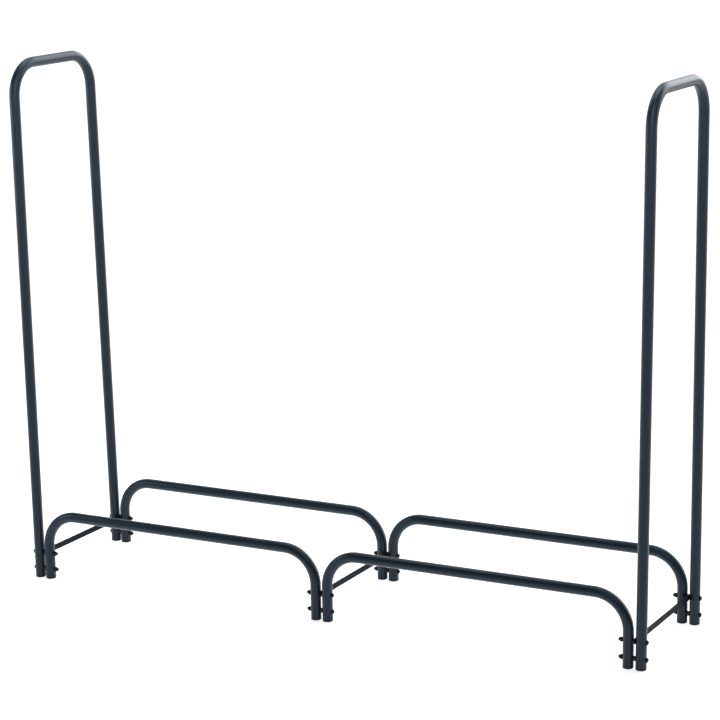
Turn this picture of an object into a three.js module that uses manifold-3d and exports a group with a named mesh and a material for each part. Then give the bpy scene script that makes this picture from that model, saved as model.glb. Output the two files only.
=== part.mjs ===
// Firewood log rack: two tall bent-tube end frames, four low bent-tube base
// rails, three flat crossbars, and the bolts, cap nuts, spacers and foot caps
// that join them.
//
// Millimetres. +X runs along the rack (left end to right end), +Y runs from
// the front rails to the back rails, +Z is up. The origin is on the floor, in
// the middle of the rack's footprint.

import * as THREE from 'three';
import Module from 'manifold-3d';
import { mergeVertices } from 'three/addons/utils/BufferGeometryUtils.js';

// ---------------------------------------------------------------- dimensions

const HEIGHT = 1200;             // floor to the top of the end frames
const AXES_LENGTH = 1507;        // between the leg axes of the two end frames
const AXES_DEPTH = 314;          // between the front and back leg axes

const TUBE_OD = 23.4;            // every tube
const TUBE_WALL = 1.2;
const FRAME_BEND_R = 74;         // end frame bends, to the tube's centre line
const FRAME_LEAN = 6.5;          // how far an end frame's top stands out past its feet
const FRAME_TAPER = 10;          // how far each of its legs comes in towards the top
const RAIL_BEND_R = 76;          // base rail bends, to the tube's centre line
const RAIL_AXIS_Z = 155.5;       // centre line of the rails' level part
const PAIR_PITCH = 29;           // between the two tube axes of a leg pair

const BOLT_Z_LOWER = 22.5;
const BOLT_Z_UPPER = 60.5;
const BOLT_R = 3;                // M6
const BOLT_HOLE_R = 3.4;
const HEAD_R = 5.25;             // button head
const HEAD_H = 3.3;
const SOCKET_AF = 4;             // hexagon socket in the head
const SOCKET_DEPTH = 2;

const NUT_AF = 10;               // hexagon cap nut
const NUT_HEX_H = 4.6;
const NUT_HEIGHT = 10;
const NUT_DOME_R = 4.7;
const NUT_BORE_R = 3.3;
const NUT_BORE_DEPTH = 7.4;

const BAR_HEIGHT = 13;           // flat crossbar, standing on edge
const BAR_THICK = 3;
const BAR_OVERHANG = 6.5;        // past the bolt axis at each end

const SPACER_R = 5.5;            // round spacer between the tubes of a pair
const SPACER_BORE_R = 3.3;

const CAP_LIP_H = 4.5;           // foot cap below the tube's end
const CAP_EDGE_R = 2.5;
const CAP_PLUG_R = 9.8;
const CAP_PLUG_TOP = 14.5;
const CAP_BORE_R = 8;
const CAP_FLOOR = 3;

const GAP = 0.3;                 // clearance where two pieces bear on each other
const TUBE_START = CAP_LIP_H + 0.3;

// facet counts
const RING = 16;                 // around a tube
const BEND_STEPS = 8;            // along a 90 degree bend
const ROUND = 10;                // around a fastener

// ----------------------------------------------------------------- materials

const powderCoat = () => new THREE.MeshStandardMaterial({
  color: new THREE.Color(0.040, 0.052, 0.062), roughness: 0.45, metalness: 0.35,
});
const darkFastener = () => new THREE.MeshStandardMaterial({
  color: new THREE.Color(0.012, 0.013, 0.015), roughness: 0.4, metalness: 0.8,
});
const blackPlastic = () => new THREE.MeshStandardMaterial({
  color: new THREE.Color(0.013, 0.014, 0.015), roughness: 0.6, metalness: 0,
});

// ------------------------------------------------------------- solid helpers

const wasm = await Module();
wasm.setup();

// A closed three.js geometry as a solid.
function solid(geometry) {
  let g = geometry.clone();
  for (const name of Object.keys(g.attributes)) if (name !== 'position') g.deleteAttribute(name);
  g = mergeVertices(g, 1e-4);
  const mesh = new wasm.Mesh({
    numProp: 3,
    vertProperties: new Float32Array(g.attributes.position.array),
    triVerts: new Uint32Array(g.index.array),
  });
  return new wasm.Manifold(mesh);
}

// A solid as a three.js geometry.
function geometryOf(manifold) {
  const mesh = manifold.getMesh();
  const g = new THREE.BufferGeometry();
  g.setAttribute('position', new THREE.BufferAttribute(new Float32Array(mesh.vertProperties), 3));
  g.setIndex(new THREE.BufferAttribute(new Uint32Array(mesh.triVerts), 1));
  g.computeVertexNormals();
  return g;
}

// ------------------------------------------------------------- bent tubing

// Stations along an inverted U in the (u, z) plane: up one leg, round a bend,
// across, round the second bend and down. Each station is a point and the
// direction of travel. The legs' axes pass through uA and uB at zNominal and
// come in towards each other by the angle taper. legRings adds stations
// along the legs.
function invertedU(uA, uB, zBottom, zAxis, bendR, legRings, taper = 0, zNominal = 0) {
  const half = (uB - uA) / 2;
  const mid = (uA + uB) / 2;
  const turn = Math.PI / 2 - taper;
  const leg = (z) => half - (z - zNominal) * Math.tan(taper);    // half spacing at a height
  const setback = bendR * Math.tan(turn / 2);
  const side = [];                                               // up the +u leg, to the middle
  const add = (u, z, du, dz) => side.push({ u, z, du, dz });
  for (const z of [zBottom, ...legRings]) add(leg(z), z, -Math.sin(taper), Math.cos(taper));
  const arcU = leg(zAxis) - setback;                             // where the bend ends
  for (let i = 0; i <= BEND_STEPS; i++) {
    const a = taper + (i / BEND_STEPS) * turn;                   // 0 upwards, 90 degrees inwards
    add(arcU + bendR * Math.cos(a), zAxis - bendR + bendR * Math.sin(a), -Math.sin(a), Math.cos(a));
  }
  const left = side.map((s) => ({ u: mid - s.u, z: s.z, du: -s.du, dz: s.dz }));
  const right = side.map((s) => ({ u: mid + s.u, z: s.z, du: -s.du, dz: -s.dz })).reverse();
  return [...left, ...right];
}

// A hollow round tube through the stations. plane is 'yz' or 'xz': the plane
// of the U, at the given offset along the third axis.
function bentTube(stations, plane, offset) {
  const positions = [];
  const index = [];
  const place = (u, z, w) => (plane === 'yz' ? [offset + w, u, z] : [u, offset + w, z]);
  const radii = [TUBE_OD / 2, TUBE_OD / 2 - TUBE_WALL];
  for (const s of stations) {
    for (const r of radii) {
      for (let k = 0; k < RING; k++) {
        const a = (k / RING) * Math.PI * 2;
        const w = r * Math.cos(a);           // out of the U's plane
        const n = r * Math.sin(a);           // in the plane, across the tube
        positions.push(...place(s.u - s.dz * n, s.z + s.du * n, w));
      }
    }
  }
  const at = (i, shell, k) => (i * 2 + shell) * RING + (k % RING);
  const quad = (a, b, c, d) => index.push(a, b, c, a, c, d);
  const last = stations.length - 1;
  for (let k = 0; k < RING; k++) {
    for (let i = 0; i < last; i++) {
      quad(at(i, 0, k), at(i, 0, k + 1), at(i + 1, 0, k + 1), at(i + 1, 0, k));
      quad(at(i, 1, k), at(i + 1, 1, k), at(i + 1, 1, k + 1), at(i, 1, k + 1));
    }
    quad(at(0, 0, k), at(0, 1, k), at(0, 1, k + 1), at(0, 0, k + 1));
    quad(at(last, 0, k), at(last, 0, k + 1), at(last, 1, k + 1), at(last, 1, k));
  }
  if (plane === 'yz') {
    // this plane's axes are the mirror image of the other one's
    for (let i = 0; i < index.length; i += 3) [index[i + 1], index[i + 2]] = [index[i + 2], index[i + 1]];
  }
  const g = new THREE.BufferGeometry();
  g.setAttribute('position', new THREE.BufferAttribute(new Float32Array(positions), 3));
  g.setIndex(index);
  g.computeVertexNormals();
  return g;
}

// A round cutter along X, centred on a point.
function cutterX(radius, length, x, y, z, segments = ROUND) {
  const g = new THREE.CylinderGeometry(radius, radius, length, segments);
  g.rotateZ(Math.PI / 2);
  g.translate(x, y, z);
  return solid(g);
}

function drilledTube(geometry, holes) {
  let body = solid(geometry);
  for (const [x, y, z] of holes) body = body.subtract(cutterX(BOLT_HOLE_R, TUBE_OD + 6, x, y, z));
  return geometryOf(body);
}

// ------------------------------------------------------------- small pieces

// Turned pieces: a profile of [radius, height] that closes on itself or
// starts and ends on the axis, spun about the Y axis.
function turned(profile, segments) {
  const g = new THREE.LatheGeometry(profile.map(([r, y]) => new THREE.Vector2(r, y)), segments);
  return solid(g);
}

// Button head bolt. The head's underside is at 0, the head rises to +Y and
// the shank runs to -Y.
function boltGeometry(shankLength) {
  const profile = [
    [0, -shankLength], [BOLT_R - 0.5, -shankLength], [BOLT_R, -shankLength + 0.6], [BOLT_R, 0],
    [HEAD_R, 0], [HEAD_R, 0.7], [HEAD_R * 0.86, 2.0], [HEAD_R * 0.6, 2.95], [HEAD_R * 0.5, HEAD_H], [0, HEAD_H],
  ];
  const socket = new THREE.CylinderGeometry(SOCKET_AF / Math.sqrt(3), SOCKET_AF / Math.sqrt(3), SOCKET_DEPTH * 2, 6);
  socket.translate(0, HEAD_H, 0);
  return geometryOf(turned(profile, ROUND).subtract(solid(socket)));
}

// Cap nut. Its bearing face is at 0 and its dome is at +Y.
function capNutGeometry() {
  const hex = new THREE.CylinderGeometry(NUT_AF / Math.sqrt(3), NUT_AF / Math.sqrt(3), NUT_HEX_H, 6);
  hex.translate(0, NUT_HEX_H / 2, 0);
  const rise = NUT_HEIGHT - NUT_DOME_R;
  const dome = [[0, 1], [NUT_DOME_R, 1], [NUT_DOME_R, rise]];
  for (let i = 1; i < 3; i++) {
    const a = (i / 3) * Math.PI / 2;
    dome.push([NUT_DOME_R * Math.cos(a), rise + NUT_DOME_R * Math.sin(a)]);
  }
  dome.push([0, NUT_HEIGHT]);
  const bore = new THREE.CylinderGeometry(NUT_BORE_R, NUT_BORE_R, NUT_BORE_DEPTH + 2, ROUND);
  bore.translate(0, NUT_BORE_DEPTH / 2 - 1, 0);
  return geometryOf(solid(hex).add(turned(dome, ROUND)).subtract(solid(bore)));
}

// Round spacer, from 0 to its length along +Y.
function spacerGeometry(length) {
  return new THREE.LatheGeometry([
    [SPACER_BORE_R, 0], [SPACER_R, 0], [SPACER_R, length], [SPACER_BORE_R, length], [SPACER_BORE_R, 0],
  ].map(([r, y]) => new THREE.Vector2(r, y)), ROUND);
}

// Foot cap: a rounded lip under the tube's end and a hollow plug inside it.
function footCapGeometry() {
  const r = TUBE_OD / 2;
  const profile = [
    [0, 0], [r - CAP_EDGE_R, 0], [r - CAP_EDGE_R * 0.29, CAP_EDGE_R * 0.29], [r, CAP_EDGE_R],
    [r, CAP_LIP_H], [CAP_PLUG_R, CAP_LIP_H], [CAP_PLUG_R, CAP_PLUG_TOP], [CAP_BORE_R, CAP_PLUG_TOP],
    [CAP_BORE_R, CAP_FLOOR], [0, CAP_FLOOR],
  ];
  const g = new THREE.LatheGeometry(profile.map(([a, b]) => new THREE.Vector2(a, b)), RING);
  g.rotateX(Math.PI / 2);
  return g;
}

// Flat crossbar along Y with rounded ends and a bolt hole near each end.
function crossbarGeometry() {
  const half = AXES_DEPTH / 2;
  const r = BAR_HEIGHT / 2;
  const end = half + BAR_OVERHANG - r;
  const shape = new THREE.Shape();
  shape.moveTo(-end, -r);
  shape.lineTo(end, -r);
  shape.absarc(end, 0, r, -Math.PI / 2, Math.PI / 2, false);
  shape.lineTo(-end, r);
  shape.absarc(-end, 0, r, Math.PI / 2, Math.PI * 1.5, false);
  for (const y of [-half, half]) {
    const hole = new THREE.Path();
    hole.absarc(y, 0, BOLT_HOLE_R, 0, Math.PI * 2, true);
    shape.holes.push(hole);
  }
  const g = new THREE.ExtrudeGeometry(shape, { depth: BAR_THICK, bevelEnabled: false, curveSegments: ROUND / 2 });
  // shape plane (along, up) and thickness, turned to Y, Z and X
  g.rotateX(Math.PI / 2);
  g.rotateZ(Math.PI / 2);
  return g;
}

// ---------------------------------------------------------------- assembly

const rack = new THREE.Group();
rack.name = 'firewood_rack';

function put(name, geometry, material, position = [0, 0, 0], rotation = [0, 0, 0]) {
  const mesh = new THREE.Mesh(geometry, material);
  mesh.name = name;
  mesh.position.set(...position);
  mesh.rotation.set(...rotation);
  rack.add(mesh);
  return mesh;
}

const endX = AXES_LENGTH / 2;
const sideY = AXES_DEPTH / 2;
const railEndX = endX - PAIR_PITCH;      // rail leg beside an end frame
const railMidX = PAIR_PITCH / 2;         // rail leg at the middle of the rack
const frameAxisZ = HEIGHT - TUBE_OD / 2;
const boltHeights = [BOLT_Z_LOWER, BOLT_Z_UPPER];
const drillRings = [(BOLT_Z_LOWER + BOLT_Z_UPPER) / 2];

// An end frame is made upright and then leant out about the height midway
// between its bolts, where its legs keep their nominal places.
const pivotZ = (BOLT_Z_LOWER + BOLT_Z_UPPER) / 2;
const legRise = frameAxisZ - pivotZ;
const lean = Math.atan(FRAME_LEAN / legRise);
const taper = Math.atan(FRAME_TAPER / legRise);
const footX = endX - (pivotZ - TUBE_START) * Math.tan(lean);
const footY = sideY + (pivotZ - TUBE_START) * Math.tan(taper);

for (const [name, x] of [['left', -endX], ['right', endX]]) {
  const stations = invertedU(-sideY, sideY, TUBE_START, frameAxisZ, FRAME_BEND_R, [...drillRings, 90], taper, pivotZ);
  const tube = bentTube(stations, 'yz', 0);
  tube.translate(0, 0, -pivotZ);
  tube.rotateY(Math.sign(x) * lean);
  tube.translate(x, 0, pivotZ);
  const holes = [-sideY, sideY].flatMap((y) => boltHeights.map((z) => [x, y, z]));
  put(`end_frame_${name}`, drilledTube(tube, holes), powderCoat());
}

for (const [row, y] of [['front', -sideY], ['back', sideY]]) {
  for (const [side, xa, xb] of [['left', -railEndX, -railMidX], ['right', railMidX, railEndX]]) {
    const tube = bentTube(invertedU(xa, xb, TUBE_START, RAIL_AXIS_Z, RAIL_BEND_R, drillRings), 'xz', y);
    const holes = [xa, xb].flatMap((x) => boltHeights.map((z) => [x, y, z]));
    put(`base_rail_${row}_${side}`, drilledTube(tube, holes), powderCoat());
  }
}

// Each leg pair: the middle of its gap, the way its bolts' heads face, and
// the side of the gap that the crossbar bears on.
const pairs = [
  { name: 'left', x: -(endX + railEndX) / 2, headSide: -1, barSide: -1 },
  { name: 'centre', x: 0, headSide: 1, barSide: -1 },
  { name: 'right', x: (endX + railEndX) / 2, headSide: 1, barSide: 1 },
];
const gapWidth = PAIR_PITCH - TUBE_OD;
const outer = PAIR_PITCH / 2 + TUBE_OD / 2 + GAP;     // bearing faces of head and nut
const shank = 2 * outer + NUT_BORE_DEPTH - 0.6;
const thinSpacer = gapWidth - BAR_THICK - 3 * GAP;

for (const pair of pairs) {
  // a turned piece's +Y goes to +X or -X
  const toward = (sign) => [0, 0, sign > 0 ? -Math.PI / 2 : Math.PI / 2];

  const barFace = pair.barSide * (gapWidth / 2 - GAP);  // bar's face next to a tube
  const barLow = pair.barSide < 0 ? barFace : barFace - BAR_THICK;
  put(`crossbar_${pair.name}`, crossbarGeometry(), powderCoat(), [pair.x + barLow, 0, BOLT_Z_UPPER]);

  for (const [row, y] of [['front', -sideY], ['back', sideY]]) {
    for (const [level, z] of [['lower', BOLT_Z_LOWER], ['upper', BOLT_Z_UPPER]]) {
      const tag = `${pair.name}_${row}_${level}`;
      put(`bolt_${tag}`, boltGeometry(shank), darkFastener(), [pair.x + pair.headSide * outer, y, z], toward(pair.headSide));
      put(`cap_nut_${tag}`, capNutGeometry(), darkFastener(), [pair.x - pair.headSide * outer, y, z], toward(-pair.headSide));
      if (level === 'lower') {
        put(`spacer_${tag}`, spacerGeometry(gapWidth - 2 * GAP), blackPlastic(), [pair.x - gapWidth / 2 + GAP, y, z], toward(1));
      } else {
        const start = pair.barSide < 0 ? gapWidth / 2 - GAP - thinSpacer : -gapWidth / 2 + GAP;
        put(`spacer_${tag}`, spacerGeometry(thinSpacer), blackPlastic(), [pair.x + start, y, z], toward(1));
      }
    }
    const legs = pair.name === 'centre' ? ['rail_left', 'rail_right'] : pair.name === 'left' ? ['frame', 'rail'] : ['rail', 'frame'];
    legs.forEach((leg, i) => {
      const at = leg === 'frame'
        ? [Math.sign(pair.x) * footX, Math.sign(y) * footY, 0]
        : [pair.x + (i ? 1 : -1) * PAIR_PITCH / 2, y, 0];
      put(`foot_cap_${pair.name}_${row}_${leg}`, footCapGeometry(), blackPlastic(), at);
    });
  }
}

export default rack;
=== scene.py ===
import math
import bpy
import bmesh
from mathutils import Matrix, Vector


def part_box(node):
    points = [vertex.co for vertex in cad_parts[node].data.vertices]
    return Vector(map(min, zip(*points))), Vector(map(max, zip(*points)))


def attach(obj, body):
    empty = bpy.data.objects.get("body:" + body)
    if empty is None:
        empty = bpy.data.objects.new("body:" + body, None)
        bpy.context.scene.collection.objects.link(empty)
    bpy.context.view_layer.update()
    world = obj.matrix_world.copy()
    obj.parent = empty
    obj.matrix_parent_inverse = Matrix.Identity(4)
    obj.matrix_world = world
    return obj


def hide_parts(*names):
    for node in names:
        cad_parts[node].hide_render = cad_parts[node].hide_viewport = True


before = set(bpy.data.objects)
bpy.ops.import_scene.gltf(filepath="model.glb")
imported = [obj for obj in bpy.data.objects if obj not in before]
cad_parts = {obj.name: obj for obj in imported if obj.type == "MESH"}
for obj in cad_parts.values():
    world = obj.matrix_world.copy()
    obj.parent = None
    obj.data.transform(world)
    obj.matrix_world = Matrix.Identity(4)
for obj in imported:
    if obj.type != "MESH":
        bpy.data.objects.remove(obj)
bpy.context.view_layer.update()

BODY = "root"
MM = 0.001

# ------------------------------------------------------------------ materials


class Nodes:
    """A material's node tree, with short ways to add and join nodes."""

    def __init__(self, name):
        self.mat = bpy.data.materials.new(name)
        self.mat.use_nodes = True
        self.tree = self.mat.node_tree
        self.tree.nodes.clear()
        self.out = self.tree.nodes.new("ShaderNodeOutputMaterial")
        self.bsdf = self.tree.nodes.new("ShaderNodeBsdfPrincipled")
        self.tree.links.new(self.bsdf.outputs["BSDF"], self.out.inputs["Surface"])

    def add(self, kind, inputs=None, **props):
        n = self.tree.nodes.new(kind)
        for k, v in props.items():
            setattr(n, k, v)
        for k, v in (inputs or {}).items():
            if isinstance(v, bpy.types.NodeSocket):
                self.tree.links.new(v, n.inputs[k])
            else:
                n.inputs[k].default_value = v
        return n

    def link(self, a, b):
        self.tree.links.new(a, b)

    def coords(self):
        return self.add("ShaderNodeTexCoord").outputs["Object"]

    def noise(self, vector, scale, detail=3.0, rough=0.55, distortion=0.0):
        return self.add("ShaderNodeTexNoise", {
            "Vector": vector, "Scale": scale, "Detail": detail, "Roughness": rough, "Distortion": distortion,
        }).outputs["Fac"]

    def ramp(self, fac, stops):
        n = self.add("ShaderNodeValToRGB", {"Fac": fac})
        e = n.color_ramp.elements
        while len(e) < len(stops):
            e.new(0.5)
        for s, (pos, col) in zip(e, stops):
            s.position = pos
            s.color = (*col, 1) if len(col) == 3 else col
        return n.outputs["Color"]

    def grey(self, fac, a, b, va, vb):
        """fac from a..b mapped to va..vb, clamped."""
        return self.add("ShaderNodeMapRange", {0: fac, 1: a, 2: b, 3: va, 4: vb}, clamp=True).outputs[0]

    def mix(self, fac, a, b, blend="MIX"):
        n = self.add("ShaderNodeMix", data_type="RGBA", blend_type=blend)
        for key, v in ((0, fac), (6, a), (7, b)):
            if isinstance(v, bpy.types.NodeSocket):
                self.tree.links.new(v, n.inputs[key])
            else:
                n.inputs[key].default_value = v if key == 0 else ((*v, 1) if len(v) == 3 else v)
        return n.outputs[2]

    def maths(self, op, a, b=0.0, clamp=False):
        n = self.add("ShaderNodeMath", operation=op, use_clamp=clamp)
        for i, v in enumerate((a, b)):
            if isinstance(v, bpy.types.NodeSocket):
                self.tree.links.new(v, n.inputs[i])
            else:
                n.inputs[i].default_value = v
        return n.outputs[0]

    def bump(self, height, strength, distance, normal=None):
        inputs = {"Height": height, "Strength": strength, "Distance": distance}
        if normal is not None:
            inputs["Normal"] = normal
        return self.add("ShaderNodeBump", inputs).outputs["Normal"]


def powder_coat(name="powder_coat", gloss=0.46, rougher=0.0, coat=0.22):
    """Satin charcoal powder coat with a blue cast and fine orange peel."""
    m = Nodes(name)
    p = m.coords()
    broad = m.noise(p, 9.0, 2.0, 0.5)
    mottle = m.noise(p, 120.0, 4.0, 0.6)
    speck = m.noise(p, 2600.0, 2.0, 0.5)
    base = m.ramp(broad, [(0.30, (0.0055, 0.0095, 0.0140)), (0.70, (0.0076, 0.0125, 0.0180))])
    base = m.mix(m.grey(mottle, 0.35, 0.7, 0.0, 0.30), base, (0.0110, 0.0170, 0.0235))
    base = m.mix(m.grey(speck, 0.60, 0.75, 0.0, 0.25), base, (0.030, 0.042, 0.054))
    # faint rubbing on the upward faces of the level tubes, where logs lie
    normal = m.add("ShaderNodeSeparateXYZ", {0: m.add("ShaderNodeNewGeometry").outputs["Normal"]}).outputs["Z"]
    up = m.grey(normal, 0.80, 0.98, 0.0, 1.0)
    rub = m.add("ShaderNodeTexNoise", {"Vector": m.add("ShaderNodeMapping", {
        "Vector": p, "Scale": (40.0, 900.0, 900.0)}).outputs[0], "Scale": 1.0, "Detail": 3.0, "Roughness": 0.6}).outputs["Fac"]
    rubbed = m.maths("MULTIPLY", up, m.grey(rub, 0.58, 0.74, 0.0, 0.16))
    base = m.mix(rubbed, base, (0.045, 0.055, 0.064))
    m.link(base, m.bsdf.inputs["Base Color"])
    rough = m.maths("ADD", m.grey(mottle, 0.3, 0.7, 0.33 + rougher, 0.40 + rougher), m.grey(speck, 0.3, 0.7, -0.02, 0.03))
    rough = m.maths("ADD", rough, m.maths("MULTIPLY", rubbed, 0.3), True)
    m.link(rough, m.bsdf.inputs["Roughness"])
    peel = m.noise(p, 620.0, 2.0, 0.45)
    grain = m.noise(p, 2300.0, 2.0, 0.5)
    n = m.bump(peel, 0.10, 0.0006)
    n = m.bump(grain, 0.07, 0.0002, n)
    m.link(n, m.bsdf.inputs["Normal"])
    m.bsdf.inputs["Metallic"].default_value = 0.0
    m.bsdf.inputs["Specular IOR Level"].default_value = gloss
    m.bsdf.inputs["Specular Tint"].default_value = (0.42, 0.57, 0.70, 1)
    m.bsdf.inputs["Coat Weight"].default_value = coat
    m.bsdf.inputs["Coat Roughness"].default_value = 0.14
    m.bsdf.inputs["Coat IOR"].default_value = 1.22
    return m.mat


def black_oxide():
    """Black oxide steel, slightly oily, with fine lighter flecks."""
    m = Nodes("black_oxide")
    p = m.coords()
    blotch = m.noise(p, 420.0, 4.0, 0.6)
    fine = m.noise(p, 3200.0, 2.0, 0.5)
    base = m.ramp(blotch, [(0.30, (0.0140, 0.0145, 0.0160)), (0.72, (0.0260, 0.0265, 0.0285))])
    base = m.mix(m.grey(fine, 0.62, 0.75, 0.0, 0.35), base, (0.060, 0.058, 0.056))
    m.link(base, m.bsdf.inputs["Base Color"])
    m.link(m.grey(blotch, 0.3, 0.7, 0.30, 0.46), m.bsdf.inputs["Roughness"])
    m.link(m.bump(fine, 0.08, 0.00012), m.bsdf.inputs["Normal"])
    m.bsdf.inputs["Metallic"].default_value = 0.9
    return m.mat


def moulded_plastic():
    """Black polyethylene with a fine moulded grain and scuffed low edges."""
    m = Nodes("moulded_plastic")
    p = m.coords()
    cloud = m.noise(p, 90.0, 3.0, 0.5)
    grain = m.noise(p, 1900.0, 3.0, 0.6)
    height = m.add("ShaderNodeSeparateXYZ", {0: p}).outputs["Z"]
    low = m.grey(height, 0.0002, 0.0030, 1.0, 0.0)
    scuff = m.maths("MULTIPLY", low, m.grey(m.noise(p, 700.0, 3.0, 0.65), 0.48, 0.66, 0.0, 0.6))
    base = m.ramp(cloud, [(0.3, (0.0070, 0.0073, 0.0080)), (0.7, (0.0105, 0.0108, 0.0116))])
    base = m.mix(scuff, base, (0.040, 0.040, 0.040))
    m.link(base, m.bsdf.inputs["Base Color"])
    m.link(m.maths("ADD", m.grey(grain, 0.3, 0.7, 0.46, 0.58), m.maths("MULTIPLY", scuff, 0.2)), m.bsdf.inputs["Roughness"])
    m.link(m.bump(grain, 0.18, 0.00018), m.bsdf.inputs["Normal"])
    m.bsdf.inputs["Specular IOR Level"].default_value = 0.35
    return m.mat


COAT = powder_coat()
# painted shade: a copy of the same powder coat with its reflection nearly taken away (gloss 0.06, rougher, no coat),
# so the crossbars read darker
SHADED_BAR_COAT = powder_coat("powder_coat_bar", 0.06, 0.16, 0.0)
OXIDE = black_oxide()
PLASTIC = moulded_plastic()

# ---------------------------------------------------------------- mesh making


def make(name, verts, faces, mat, node, sharp=32.0):
    """A piece from vertices and faces, outward facing, in place of the CAD part it hides."""
    me = bpy.data.meshes.new(name)
    me.from_pydata([tuple(v) for v in verts], [], faces)
    me.validate()
    bm = bmesh.new()
    bm.from_mesh(me)
    bmesh.ops.remove_doubles(bm, verts=bm.verts, dist=1e-7)
    bmesh.ops.recalc_face_normals(bm, faces=bm.faces)
    bm.to_mesh(me)
    bm.free()
    shade(me, sharp)
    ob = bpy.data.objects.new(name, me)
    bpy.context.collection.objects.link(ob)
    ob.data.materials.append(mat)
    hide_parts(node)
    return ob


def shade(me, sharp):
    for f in me.polygons:
        f.use_smooth = True
    me.set_sharp_from_angle(angle=math.radians(sharp))


def torus_grid(rings):
    """Faces of rings joined each to the next, and the last to the first."""
    n = len(rings[0])
    verts = [v for r in rings for v in r]
    faces = []
    for i in range(len(rings)):
        j = (i + 1) % len(rings)
        for k in range(n):
            l = (k + 1) % n
            faces.append((i * n + k, i * n + l, j * n + l, j * n + k))
    return verts, faces


def spun_grid(rings, start, end):
    """Faces of rings joined in a row, closed by a point at each end."""
    n = len(rings[0])
    verts = [v for r in rings for v in r]
    faces = []
    for i in range(len(rings) - 1):
        for k in range(n):
            l = (k + 1) % n
            faces.append((i * n + k, i * n + l, (i + 1) * n + l, (i + 1) * n + k))
    a = len(verts)
    verts += [start, end]
    last = (len(rings) - 1) * n
    for k in range(n):
        l = (k + 1) % n
        faces.append((a, l, k))
        faces.append((a + 1, last + k, last + l))
    return verts, faces


def drill(ob, points, radius, length, sharp=32.0):
    """Holes along X through a piece at the points."""
    bm = bmesh.new()
    for q in points:
        m = Matrix.Translation(q) @ Matrix.Rotation(math.pi / 2, 4, "Y")
        bmesh.ops.create_cone(bm, cap_ends=True, segments=32, radius1=radius, radius2=radius, depth=length, matrix=m)
    cm = bpy.data.meshes.new("cutter")
    bm.to_mesh(cm)
    bm.free()
    cutter = bpy.data.objects.new("cutter", cm)
    bpy.context.collection.objects.link(cutter)
    mod = ob.modifiers.new("drill", "BOOLEAN")
    mod.operation = "DIFFERENCE"
    mod.solver = "EXACT"
    mod.object = cutter
    dg = bpy.context.evaluated_depsgraph_get()
    new = bpy.data.meshes.new_from_object(ob.evaluated_get(dg), preserve_all_data_layers=True, depsgraph=dg)
    ob.modifiers.clear()
    old = ob.data
    name = old.name
    ob.data = new
    bpy.data.meshes.remove(old)
    new.name = name
    bpy.data.objects.remove(cutter)
    bpy.data.meshes.remove(cm)
    shade(ob.data, sharp)


# ------------------------------------------------------------------ bent tube

WALL = 1.2 * MM
SIDES = 48
BEND = 26
HOLE_R = 3.4 * MM


def u_path(ua, ub, z0, z_axis, bend_r, leg_marks, taper=0.0, z_nominal=0.0):
    """Stations of an upside-down U: (u, z, du, dz, bend), bend 0 on straights to 1 in mid bend.
    The legs' axes pass through ua and ub at z_nominal and come in by the angle taper."""
    mid, half = (ua + ub) / 2, (ub - ua) / 2
    turn = math.pi / 2 - taper

    def leg(z):
        return half - (z - z_nominal) * math.tan(taper)

    arc_u = leg(z_axis) - bend_r * math.tan(turn / 2)
    side = [(leg(z), z, -math.sin(taper), math.cos(taper), 0.0) for z in [z0] + leg_marks]
    for i in range(BEND + 1):
        a = taper + i / BEND * turn
        side.append((arc_u + bend_r * math.cos(a), z_axis - bend_r + bend_r * math.sin(a),
                     -math.sin(a), math.cos(a), math.sin(math.pi * i / BEND)))
    left = [(mid - u, z, -du, dz, b) for u, z, du, dz, b in side]
    level = [(mid + arc_u * t, z_axis, 1.0, 0.0, 0.0) for t in (-0.5, 0.0, 0.5)]
    right = [(mid + u, z, -du, -dz, b) for u, z, du, dz, b in reversed(side)]
    return left + level + right


def tube(name, stations, place, r):
    """Hollow tube through the stations, with softened ends and the slight
    flattening that a mandrel bend leaves."""
    ri = r - WALL
    soft = 0.25 * MM

    def ring(s, rad, back=0.0):
        u, z, du, dz, b = s
        u, z = u - du * back, z - dz * back
        out = []
        for k in range(SIDES):
            a = k / SIDES * 2 * math.pi
            w = rad * (1 - 0.002 * b) * math.cos(a)
            n = rad * (1 - 0.022 * b) * math.sin(a)
            out.append(place(u - dz * n, z + du * n, w))
        return out

    first, last = stations[0], stations[-1]
    rings = [ring(first, r - soft), ring(first, r, -soft)]
    rings += [ring(s, r) for s in stations[1:-1]]
    rings += [ring(last, r, soft), ring(last, r - soft), ring(last, ri + soft), ring(last, ri, soft)]
    rings += [ring(s, ri) for s in reversed(stations[1:-1])]
    rings += [ring(first, ri, -soft), ring(first, ri + soft)]
    return torus_grid(rings)


def centre(node):
    a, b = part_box(node)
    return (Vector(a) + Vector(b)) / 2


PAIRS = ("left", "centre", "right")
ROWS = ("front", "back")
LEVELS = ("lower", "upper")
bolt_z = [centre(f"bolt_left_front_{l}").z for l in LEVELS]
leg_marks = [0.0165, 0.0285, 0.0415, 0.0545, 0.0665]

for row in ROWS:
    for side in ("left", "right"):
        node = f"base_rail_{row}_{side}"
        a, b = (Vector(v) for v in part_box(node))
        r = (b.y - a.y) / 2
        y = (a.y + b.y) / 2
        xa, xb = a.x + r, b.x - r
        st = u_path(xa, xb, a.z, b.z - r, 76 * MM, leg_marks)
        verts, faces = tube(node, st, lambda u, z, w, y=y: (u, y + w, z), r)
        ob = make(f"{node}_tube", verts, faces, COAT, node)
        drill(ob, [Vector((x, y, z)) for x in (xa, xb) for z in bolt_z], HOLE_R, 0.03)
        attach(ob, BODY)

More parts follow.
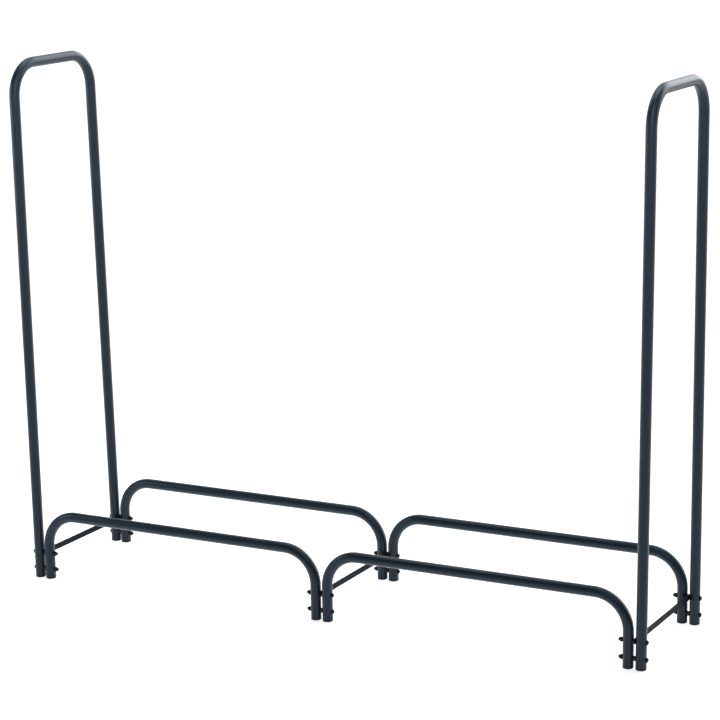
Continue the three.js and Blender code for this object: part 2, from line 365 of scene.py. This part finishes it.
TUBE_R = r
LEG_Y = abs(y)
PITCH = centre("foot_cap_centre_front_rail_right").x - centre("foot_cap_centre_front_rail_left").x
END_X = xb + PITCH
HEIGHT = 1.2
LEAN_OUT, TAPER_IN = 6.5 * MM, 10 * MM      # at the top of an end frame
pivot_z = sum(bolt_z) / 2
rise = HEIGHT - TUBE_R - pivot_z
lean, taper = math.atan(LEAN_OUT / rise), math.atan(TAPER_IN / rise)

for side, sg in (("left", -1), ("right", 1)):
    node = f"end_frame_{side}"
    z0 = centre("base_rail_front_left").z * 2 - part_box("base_rail_front_left")[1][2]
    st = u_path(-LEG_Y, LEG_Y, z0, HEIGHT - TUBE_R, 74 * MM, leg_marks + [0.1, 0.4, 0.7, 1.0], taper, pivot_z)

    def place(u, z, w, sg=sg):
        c, s_ = math.cos(sg * lean), math.sin(sg * lean)
        dz = z - pivot_z
        return (sg * END_X + w * c + dz * s_, u, pivot_z - w * s_ + dz * c)

    verts, faces = tube(node, st, place, TUBE_R)
    ob = make(f"{node}_tube", verts, faces, COAT, node)
    drill(ob, [Vector((sg * END_X, y, z)) for y in (-LEG_Y, LEG_Y) for z in bolt_z], HOLE_R, 0.03)
    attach(ob, BODY)

# ------------------------------------------------------------------ crossbars


def crossbar(node):
    """Flat bar on edge with rounded ends and eased edges."""
    a, b = (Vector(v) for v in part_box(node))
    t, h = b.x - a.x, b.z - a.z
    xm, zm = (a.x + b.x) / 2, (a.z + b.z) / 2
    rr = h / 2
    ye = b.y - rr
    ease = 0.45 * MM
    outline = []
    for i in range(25):
        g = -math.pi / 2 + i / 24 * math.pi
        outline.append((math.cos(g), math.sin(g), ye))
    for i in range(25):
        g = math.pi / 2 + i / 24 * math.pi
        outline.append((math.cos(g), math.sin(g), -ye))

    def ring(xo, inset):
        return [(xm + xo, c + (rr - inset) * dy, zm + (rr - inset) * dz) for dy, dz, c in outline]

    rows = []
    for i in range(5):
        g = i / 4 * math.pi / 2
        rows.append(ring(-t / 2 + ease * (1 - math.sin(g)), ease * (1 - math.cos(g))))
    rows = [ring(-t / 2 + ease * (1 - math.sin(i / 4 * math.pi / 2)), ease * (1 - math.cos(i / 4 * math.pi / 2))) for i in range(4, -1, -1)]
    rows += [ring(t / 2 - ease * (1 - math.sin(i / 4 * math.pi / 2)), ease * (1 - math.cos(i / 4 * math.pi / 2))) for i in range(0, 5)]
    n = len(outline)
    verts = [v for r_ in rows for v in r_]
    faces = []
    for i in range(len(rows) - 1):
        for k in range(n):
            l = (k + 1) % n
            faces.append((i * n + k, i * n + l, (i + 1) * n + l, (i + 1) * n + k))
    faces.append(tuple(range(n)))
    last = (len(rows) - 1) * n
    faces.append(tuple(last + k for k in reversed(range(n))))
    ob = make(f"{node}_bar", verts, faces, SHADED_BAR_COAT, node, sharp=50)
    return ob, xm, zm


for pair in PAIRS:
    node = f"crossbar_{pair}"
    ob, xm, zm = crossbar(node)
    ys = [centre(f"bolt_{pair}_{row}_upper").y for row in ROWS]
    drill(ob, [Vector((xm, y, zm)) for y in ys], HOLE_R, 0.012, sharp=50)
    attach(ob, BODY)

# ------------------------------------------------------------------ fasteners

ROUND = 72


def along_x(sign, x0, y0, z0):
    """Places (radius, angle, height) with height running along +X or -X from x0."""
    def f(rad, ang, h):
        return (x0 + sign * h, y0 + rad * math.cos(ang), z0 + rad * math.sin(ang))
    return f


def hex_r(ang, af):
    s = math.pi / 3
    return af / 2 / math.cos((ang + s / 2) % s - s / 2)


def bolt(node, sign, turn):
    """Button head bolt with a hexagon socket and a threaded end. sign is the way the head faces."""
    a, b = (Vector(v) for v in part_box(node))
    y, z = (a.y + b.y) / 2, (a.z + b.z) / 2
    top, tip = (b.x, a.x) if sign > 0 else (a.x, b.x)
    head_h, head_r, shank_r = 3.3 * MM, 5.25 * MM, 2.96 * MM
    p = along_x(sign, top - sign * head_h, y, z)      # height 0 is the head's underside
    shank = abs(tip - top) - head_h
    angs = [k / ROUND * 2 * math.pi for k in range(ROUND)]
    rings = []

    def circle(rad, h):
        rings.append([p(rad, t, h) for t in angs])

    # thread at the shank's end: a helix cut into the radius
    pitch, length = 1.0 * MM, 15 * MM
    steps = int(length / pitch * 6)
    circle(0.6 * shank_r, -shank)
    circle(0.80 * shank_r, -shank)
    for i in range(steps + 1):
        h = -shank + 0.4 * MM + i * (length / steps)
        fade = min(1.0, i / 9, (steps - i) / 9)
        row = []
        for t in angs:
            ph = (h / pitch - t / (2 * math.pi)) % 1.0
            depth = 0.5 + 0.5 * math.cos(2 * math.pi * ph)
            lead = 1.0 if i > 8 else 0.84 + 0.16 * i / 8
            row.append(p(shank_r * lead - 0.52 * MM * depth * fade, t, h))
        rings.append(row)
    circle(shank_r, -shank + length + 1.2 * MM)
    circle(shank_r, -0.4 * MM)
    circle(shank_r + 0.2 * MM, -0.1 * MM)
    circle(shank_r + 0.4 * MM, 0.0)
    circle(head_r - 0.25 * MM, 0.0)
    circle(head_r - 0.05 * MM, 0.08 * MM)
    circle(head_r, 0.28 * MM)
    circle(head_r, 0.75 * MM)
    for i in range(1, 11):
        g = i / 10 * math.pi / 2
        rr = head_r - (head_r - 2.75 * MM) * (1 - math.cos(g * 0.98))
        hh = 0.75 * MM + (head_h - 0.75 * MM) * math.sin(g)
        circle(rr, hh)
    af = 4.0 * MM
    rings.append([p(hex_r(t + turn, af) + 0.28 * MM, t, head_h) for t in angs])
    rings.append([p(hex_r(t + turn, af), t, head_h - 0.22 * MM) for t in angs])
    rings.append([p(hex_r(t + turn, af), t, head_h - 1.9 * MM) for t in angs])
    rings.append([p(1.85 * MM, t, head_h - 2.0 * MM) for t in angs])
    verts, faces = spun_grid(rings, p(0, 0, -shank), p(0, 0, head_h - 2.6 * MM))
    return make(f"{node}_m6", verts, faces, OXIDE, node, sharp=38)


def cap_nut(node, sign, turn):
    """Hexagon cap nut, chamfered, with a domed end and a blind bore. sign is the way the dome faces."""
    a, b = (Vector(v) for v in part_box(node))
    y, z = (a.y + b.y) / 2, (a.z + b.z) / 2
    face = a.x if sign > 0 else b.x
    p = along_x(sign, face, y, z)
    height = b.x - a.x
    af, hex_h = 10.0 * MM, 4.6 * MM
    corner = af / math.sqrt(3)
    dome_r = 4.7 * MM
    angs = [k / ROUND * 2 * math.pi for k in range(ROUND)]
    rings = []

    def row(limit, h):
        rings.append([p(min(hex_r(t + turn, af), limit), t, h) for t in angs])

    def circle(rad, h):
        rings.append([p(rad, t, h) for t in angs])

    # bore first, from its blind end out to the mouth
    depth = 7.4 * MM
    circle(2.9 * MM, depth - 0.3 * MM)
    circle(3.12 * MM, depth - 0.9 * MM)
    circle(3.12 * MM, 0.5 * MM)
    circle(3.5 * MM, 0.0)
    row(4.75 * MM, 0.0)
    for i in range(1, 7):
        row(4.75 * MM + (corner - 4.75 * MM) * i / 6, 0.75 * MM * i / 6)
    row(corner, hex_h - 0.85 * MM)
    for i in range(1, 7):
        row(corner - (corner - 4.72 * MM) * (i / 6), hex_h - 0.85 * MM * (1 - i / 6))
    circle(dome_r - 0.22 * MM, hex_h + 0.12 * MM)
    circle(dome_r - 0.30 * MM, hex_h + 0.45 * MM)
    top_r = dome_r - 0.30 * MM
    rise = height - hex_h - 0.45 * MM
    for i in range(1, 14):
        g = i / 14 * math.pi / 2
        circle(top_r * math.cos(g), hex_h + 0.45 * MM + rise * math.sin(g))
    verts, faces = spun_grid(rings, p(0, 0, depth), p(0, 0, height))
    return make(f"{node}_m6", verts, faces, OXIDE, node, sharp=38)


def spacer(node, pair_x, bar_side):
    """Black plastic spacer. An end that meets a tube is hollowed to its curve; bar_side is the end that meets the flat bar, or 0."""
    a, b = (Vector(v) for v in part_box(node))
    y, z = (a.y + b.y) / 2, (a.z + b.z) / 2
    ro, ri = 5.4 * MM, 3.3 * MM
    gap_half = PITCH / 2 - TUBE_R
    angs = [k / ROUND * 2 * math.pi for k in range(ROUND)]

    def end(sign, dy):
        if bar_side == sign:
            return (b.x if sign > 0 else a.x)
        return pair_x + sign * (gap_half - 0.12 * MM + TUBE_R - math.sqrt(max(TUBE_R ** 2 - dy ** 2, 0.0)))

    def ring(rad, sign, back):
        return [(end(sign, rad * math.cos(t)) - sign * back, y + rad * math.cos(t), z + rad * math.sin(t)) for t in angs]

    e = 0.35 * MM
    rings = [ring(ro - e, -1, 0), ring(ro - 0.1 * MM, -1, 0.1 * MM), ring(ro, -1, e)]
    rings += [ring(ro, 1, e), ring(ro - 0.1 * MM, 1, 0.1 * MM), ring(ro - e, 1, 0)]
    rings += [ring(ri + 0.2 * MM, 1, 0), ring(ri, 1, 0.2 * MM), ring(ri, -1, 0.2 * MM), ring(ri + 0.2 * MM, -1, 0)]
    verts, faces = torus_grid(rings)
    return make(f"{node}_ring", verts, faces, PLASTIC, node, sharp=38)


index = 0
for pair in PAIRS:
    pair_x = {"left": -1, "centre": 0, "right": 1}[pair] * (END_X - PITCH / 2)
    bar_x = centre(f"crossbar_{pair}").x
    for row in ROWS:
        for level in LEVELS:
            tag = f"{pair}_{row}_{level}"
            index += 1
            sign = 1 if centre(f"bolt_{tag}").x > centre(f"cap_nut_{tag}").x else -1
            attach(bolt(f"bolt_{tag}", sign, 0.37 * index), BODY)
            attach(cap_nut(f"cap_nut_{tag}", -sign, 0.61 * index), BODY)
            bar_side = 0 if level == "lower" else (1 if bar_x > centre(f"spacer_{tag}").x else -1)
            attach(spacer(f"spacer_{tag}", pair_x, bar_side), BODY)

# ------------------------------------------------------------------ foot caps


def foot_cap(node):
    """Moulded cap: rounded lip, ribbed hollow plug and a shallow moulded recess under it."""
    a, b = (Vector(v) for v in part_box(node))
    x, y = (a.x + b.x) / 2, (a.y + b.y) / 2
    R = (b.x - a.x) / 2
    angs = [k / ROUND * 2 * math.pi for k in range(ROUND)]
    rings = []

    def circle(rad, h, rib=0.0):
        row = []
        for t in angs:
            q = rad + (rib if math.cos(8 * t) > 0.55 else 0.0)
            row.append((x + q * math.cos(t), y + q * math.sin(t), h))
        rings.append(row)

    circle(3.6 * MM, 0.35 * MM)
    circle(4.0 * MM, 0.30 * MM)
    circle(4.4 * MM, 0.0)
    edge = 2.3 * MM
    for i in range(9):
        g = i / 8 * math.pi / 2
        circle(R - edge + edge * math.sin(g), edge - edge * math.cos(g))
    circle(R, 4.2 * MM)
    circle(R - 0.08 * MM, 4.42 * MM)
    circle(R - 0.3 * MM, 4.5 * MM)
    circle(9.5 * MM, 4.5 * MM)
    circle(9.5 * MM, 5.0 * MM, 0.5 * MM)
    circle(9.5 * MM, b.z - 1.2 * MM, 0.3 * MM)
    circle(9.2 * MM, b.z - 0.1 * MM)
    circle(9.0 * MM, b.z)
    circle(8.2 * MM, b.z)
    circle(8.0 * MM, b.z - 0.3 * MM)
    circle(8.0 * MM, 3.4 * MM)
    circle(7.6 * MM, 3.0 * MM)
    verts, faces = spun_grid(rings, (x, y, 0.35 * MM), (x, y, 3.0 * MM))
    return make(f"{node}_moulding", verts, faces, PLASTIC, node, sharp=38)


for node in sorted(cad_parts):
    if node.startswith("foot_cap_"):
        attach(foot_cap(node), BODY)

# ------------------------------------------------------- floor, light, camera

FLOOR_GLOW = 0.66
GLOW = 4.2
GLOW_DIR = (0.36, 0.92, 0.26)
GLOW_OUTER, GLOW_INNER = 42, 8

bm = bmesh.new()
bmesh.ops.create_grid(bm, x_segments=1, y_segments=1, size=30.0)
me = bpy.data.meshes.new("floor")
bm.to_mesh(me)
bm.free()
floor = bpy.data.objects.new("floor", me)
bpy.context.collection.objects.link(floor)
fm = Nodes("floor_white")
grain = fm.noise(fm.coords(), 3.0, 2.0, 0.5)
fm.link(fm.ramp(grain, [(0.3, (0.80, 0.80, 0.80)), (0.7, (0.82, 0.82, 0.82))]), fm.bsdf.inputs["Base Color"])
fm.bsdf.inputs["Roughness"].default_value = 0.9
fm.bsdf.inputs["Specular IOR Level"].default_value = 0.1
fm.bsdf.inputs["Emission Color"].default_value = (1, 1, 1, 1)
fm.bsdf.inputs["Emission Strength"].default_value = FLOOR_GLOW
me.materials.append(fm.mat)

# a dim room with a large soft light low behind the rack, towards its right end
world = bpy.data.worlds.new("studio")
bpy.context.scene.world = world
world.use_nodes = True
wt = world.node_tree
wt.nodes.clear()
w_out = wt.nodes.new("ShaderNodeOutputWorld")
w_bg = wt.nodes.new("ShaderNodeBackground")
wt.links.new(w_bg.outputs[0], w_out.inputs["Surface"])


def w_add(kind, inputs=None, **props):
    n = wt.nodes.new(kind)
    for k, v in props.items():
        setattr(n, k, v)
    for k, v in (inputs or {}).items():
        if isinstance(v, bpy.types.NodeSocket):
            wt.links.new(v, n.inputs[k])
        else:
            n.inputs[k].default_value = v
    return n


heading = w_add("ShaderNodeVectorMath", {0: w_add("ShaderNodeTexCoord").outputs["Generated"]}, operation="NORMALIZE").outputs[0]


def lobe(direction, outer, inner):
    """1 within the inner angle of a direction, falling to 0 at the outer angle."""
    d = w_add("ShaderNodeVectorMath", {0: heading, 1: Vector(direction).normalized()[:]}, operation="DOT_PRODUCT").outputs["Value"]
    return w_add("ShaderNodeMapRange", {0: d, 1: math.cos(math.radians(outer)), 2: math.cos(math.radians(inner)), 3: 0.0, 4: 1.0},
                 interpolation_type="SMOOTHSTEP").outputs[0]


def w_mix(fac, a, b, blend="MIX"):
    n = wt.nodes.new("ShaderNodeMix")
    n.data_type, n.blend_type = "RGBA", blend
    for key, v in ((0, fac), (6, a), (7, b)):
        if isinstance(v, bpy.types.NodeSocket):
            wt.links.new(v, n.inputs[key])
        else:
            n.inputs[key].default_value = v if key == 0 else (*v, 1)
    return n.outputs[2]


level = w_add("ShaderNodeSeparateXYZ", {0: heading}).outputs["Z"]
sky = w_mix(lobe((-0.2, -0.5, 0.9), 70, 20), (0.13, 0.15, 0.18), (0.07, 0.09, 0.12))
sky = w_mix(lobe((-0.15, 0.92, 0.36), 66, 22), sky, (0.95, 0.97, 1.0))
sky = w_mix(lobe(GLOW_DIR, GLOW_OUTER, GLOW_INNER), sky, (GLOW, GLOW * 1.02, GLOW * 1.05))
low = w_add("ShaderNodeMapRange", {0: level, 1: 0.015, 2: 0.07, 3: 1.0, 4: 0.0}, interpolation_type="SMOOTHSTEP").outputs[0]
sky = w_mix(low, sky, (1.1, 1.1, 1.1))
wt.links.new(sky, w_bg.inputs["Color"])
w_bg.inputs["Strength"].default_value = 1.0


def area(name, loc, target, size, power, color=(1, 1, 1)):
    d = bpy.data.lights.new(name, "AREA")
    d.shape = "RECTANGLE"
    d.size, d.size_y = size
    d.energy = power
    d.color = color
    o = bpy.data.objects.new(name, d)
    o.location = loc
    o.rotation_mode = "QUATERNION"
    o.rotation_quaternion = (Vector(target) - Vector(loc)).to_track_quat("-Z", "Y")
    bpy.context.collection.objects.link(o)
    return o


for name, x in (("top_left", -0.72), ("top_right", 0.58)):
    lamp = area(name, (x, 0.12, 2.25), (x, 0.0, 0.0), (0.8, 0.8), 7.0, (0.95, 0.98, 1.0))
    lamp.visible_camera = False

for name, x, off in (("bend_left", -0.76, (0.50, -0.60)), ("bend_right", 0.75, (0.30, -0.67))):
    lamp = area(name, (x + off[0], -0.12 + off[1], 1.52), (x, -0.12, 1.10), (1.30, 1.10), 3.4, (0.86, 0.94, 1.0))
    lamp.visible_camera = False
    lamp.data.spread = math.radians(90)
lamp = area("left_fill", (-2.2, -1.1, 1.25), (-0.76, 0.0, 0.9), (0.7, 1.3), 14.0, (0.84, 0.93, 1.0))
lamp.visible_camera = False

F, PX, PY = 2363.73, 430.0, 430.2
YAW, PITCH, ROLL = math.radians(26.7980), math.radians(14.5247), math.radians(-0.7403)
fwd = Vector((-math.sin(YAW) * math.cos(PITCH), math.cos(YAW) * math.cos(PITCH), -math.sin(PITCH)))
right = Vector((math.cos(YAW), math.sin(YAW), 0.0))
up = right.cross(fwd)
r2 = math.cos(ROLL) * right + math.sin(ROLL) * up
u2 = -math.sin(ROLL) * right + math.cos(ROLL) * up
cd = bpy.data.cameras.new("camera")
cd.sensor_width = 36.0
cd.lens = F / 720 * 36.0
cd.shift_x = (360 - PX) / 720
cd.shift_y = (PY - 360) / 720
cd.clip_start, cd.clip_end = 0.05, 200.0
cam = bpy.data.objects.new("camera", cd)
m = Matrix((r2, u2, -fwd)).transposed().to_4x4()
m.translation = Vector((2.4440, -4.4568, 1.7086))
cam.matrix_world = m
bpy.context.collection.objects.link(cam)
bpy.context.scene.camera = cam
bpy.context.scene.view_settings.view_transform = "Standard"
